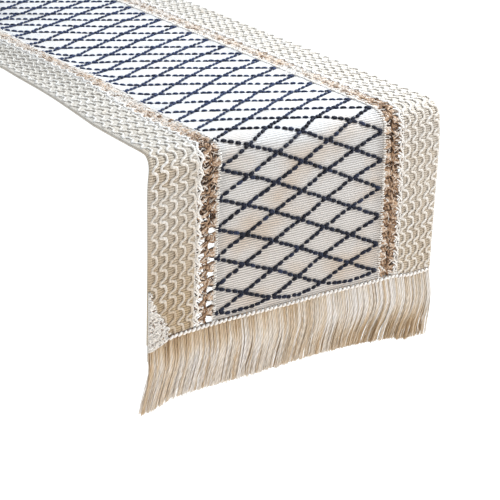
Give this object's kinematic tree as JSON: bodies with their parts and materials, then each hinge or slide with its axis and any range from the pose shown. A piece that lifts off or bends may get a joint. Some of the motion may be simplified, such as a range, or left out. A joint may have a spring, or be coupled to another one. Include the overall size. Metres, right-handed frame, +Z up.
{
  "type": "table runner",
  "caption": "Draped woven cotton table runner with an embroidered diamond lattice, openwork bands, chunky side panels and fringed ends.",
  "frame": {"origin": "middle of the underside of the stretch that lies on the table top", "axes": "+X across the runner, +Y along its length towards the back end, +Z up"},
  "size_m": [0.305, 1.4166, 0.2161],
  "materials": {
    "centre_cotton": "matte plain weave",
    "navy_yarn": "matte soft yarn",
    "brown_yarn": "matte twisted yarn",
    "white_thread": "matte thread",
    "cream_yarn": "matte chunky weave",
    "selvage_cotton": "matte plain weave",
    "fringe_yarn": "silky loose yarn"
  },
  "bodies": {
    "runner_top": {"centre_panel_top": "centre_cotton", "diamond_lattice_top": "navy_yarn", "openwork_band_left_top": "brown_yarn", "openwork_band_right_top": "brown_yarn", "seam_cord_left_top": "white_thread", "seam_cord_right_top": "white_thread", "ladder_cord_left_top": "white_thread", "ladder_cord_right_top": "white_thread", "side_panel_left_top": "cream_yarn", "side_panel_right_top": "cream_yarn", "selvage_left_top": "selvage_cotton", "selvage_right_top": "selvage_cotton"},
    "front_drop": {"centre_panel_front": "centre_cotton", "diamond_lattice_front": "navy_yarn", "openwork_band_left_front": "brown_yarn", "openwork_band_right_front": "brown_yarn", "seam_cord_left_front": "white_thread", "seam_cord_right_front": "white_thread", "ladder_cord_left_front": "white_thread", "ladder_cord_right_front": "white_thread", "side_panel_left_front": "cream_yarn", "side_panel_right_front": "cream_yarn", "selvage_left_front": "selvage_cotton", "selvage_right_front": "selvage_cotton", "header_cord_front": "white_thread", "header_tape_front": "fringe_yarn"},
    "back_drop": {"centre_panel_back": "centre_cotton", "diamond_lattice_back": "navy_yarn", "openwork_band_left_back": "brown_yarn", "openwork_band_right_back": "brown_yarn", "seam_cord_left_back": "white_thread", "seam_cord_right_back": "white_thread", "ladder_cord_left_back": "white_thread", "ladder_cord_right_back": "white_thread", "side_panel_left_back": "cream_yarn", "side_panel_right_back": "cream_yarn", "selvage_left_back": "selvage_cotton", "selvage_right_back": "selvage_cotton", "header_cord_back": "white_thread", "header_tape_back": "fringe_yarn"},
    "front_fringe": {"fringe_front": "fringe_yarn"},
    "back_fringe": {"fringe_back": "fringe_yarn"}
  },
  "joints": [
    {"name": "front_drop_fold", "type": "hinge", "parent": "runner_top", "child": "front_drop", "pos_m": [0, -0.703, -0.0014], "axis": [-1, 0, 0], "range_deg": [0, 90]},
    {"name": "back_drop_fold", "type": "hinge", "parent": "runner_top", "child": "back_drop", "pos_m": [0, 0.703, -0.0014], "axis": [1, 0, 0], "range_deg": [0, 90]},
    {"name": "front_fringe_swing", "type": "hinge", "parent": "front_drop", "child": "front_fringe", "pos_m": [0, -0.706, -0.1627], "axis": [-1, 0, 0], "range_deg": [-30, 40]},
    {"name": "back_fringe_swing", "type": "hinge", "parent": "back_drop", "child": "back_fringe", "pos_m": [0, 0.706, -0.1627], "axis": [1, 0, 0], "range_deg": [-30, 40]}
  ]
}
